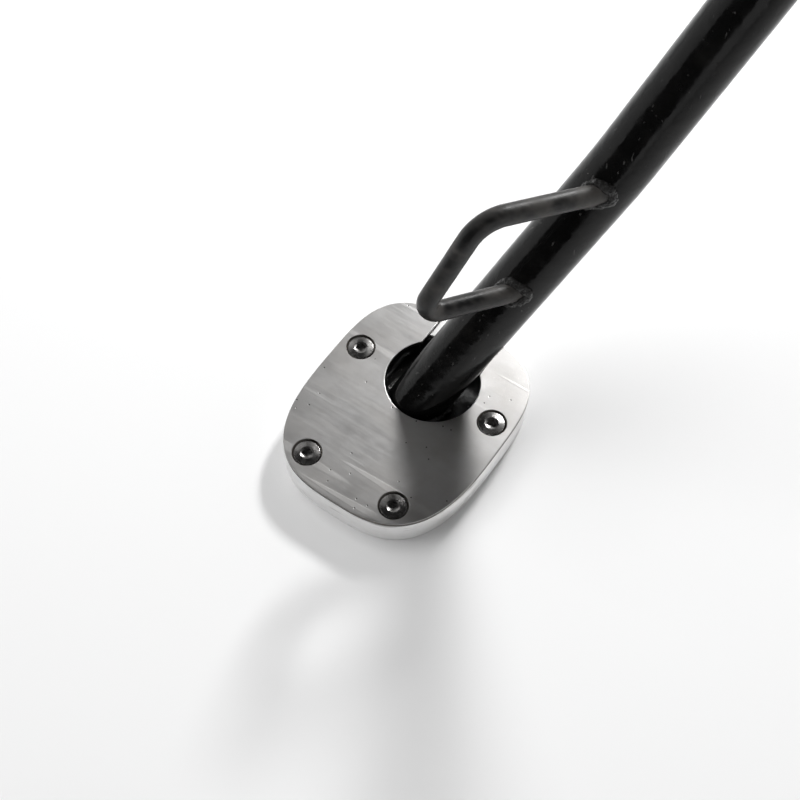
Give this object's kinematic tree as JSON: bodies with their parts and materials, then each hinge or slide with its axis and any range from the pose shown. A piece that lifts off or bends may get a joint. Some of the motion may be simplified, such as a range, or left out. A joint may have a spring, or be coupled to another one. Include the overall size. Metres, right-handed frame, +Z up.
{
  "type": "motorcycle side stand",
  "caption": "Folding motorcycle side stand: sprung tubular leg with a welded kick loop and a wide bolted foot plate, hinged on a bolt-on bracket.",
  "frame": {"origin": "centre of the bracket's mounting face, between its two bolts", "axes": "+Z up from the ground, +X towards the rear wheel, +Y inboard towards the motorcycle; the stand is deployed and the motorcycle leans 10 degrees onto it"},
  "size_m": [0.1686, 0.3014, 0.3487],
  "materials": {
    "black_paint": "gloss black paint over steel, with small chips",
    "bracket_paint": "satin black paint over forged steel",
    "painted_weld": "lumpy weld bead under black paint",
    "stainless": "satin, faintly blotched",
    "aluminium": "milled and lightly blasted",
    "screw_steel": "bright turned rim, darker top",
    "zinc_steel": "zinc plated",
    "bronze": "sintered bronze",
    "spring_steel": "zinc plated spring wire"
  },
  "bodies": {
    "bracket": {"mount_bracket": "bracket_paint", "bracket_bolt_front": "zinc_steel", "bracket_bolt_rear": "zinc_steel", "bracket_washer_front": "zinc_steel", "bracket_washer_rear": "zinc_steel", "pivot_bushing": "bronze", "spring_post_upper": "zinc_steel"},
    "leg": {"leg_head": "black_paint", "pivot_bolt": "zinc_steel", "pivot_nut": "zinc_steel", "pivot_washer_outer": "zinc_steel", "pivot_washer_inner": "zinc_steel", "spring_post_lower": "black_paint", "head_weld": "painted_weld", "leg_tube": "black_paint", "kick_loop": "black_paint", "loop_weld_lower": "painted_weld", "loop_weld_upper": "painted_weld", "foot_weld": "painted_weld", "stock_foot": "black_paint", "foot_top_plate": "stainless", "foot_base_plate": "aluminium", "foot_screw_1": "screw_steel", "foot_screw_2": "screw_steel", "foot_screw_3": "screw_steel", "foot_screw_4": "screw_steel"},
    "springs": {"outer_spring": "spring_steel", "inner_spring": "spring_steel"}
  },
  "joints": [
    {"name": "leg_pivot", "type": "hinge", "parent": "bracket", "child": "leg", "pos_m": [0.046, -0.046, -0.05], "axis": [-0.1687, -0.8024, 0.5724], "range_deg": [0, 100], "stiffness_Nm_per_rad": 2, "springref_deg": -85.94},
    {"name": "spring_swing", "type": "hinge", "parent": "bracket", "child": "springs", "pos_m": [0.02357, -0.05507, -0.01341], "axis": [-0.1687, -0.8024, 0.5724], "range_deg": [0, 71.2], "deforming": ["outer_spring", "inner_spring"]}
  ],
  "couplings": [
    {"joint": "spring_swing", "follows": "leg_pivot", "ratio": 0.7113}
  ]
}
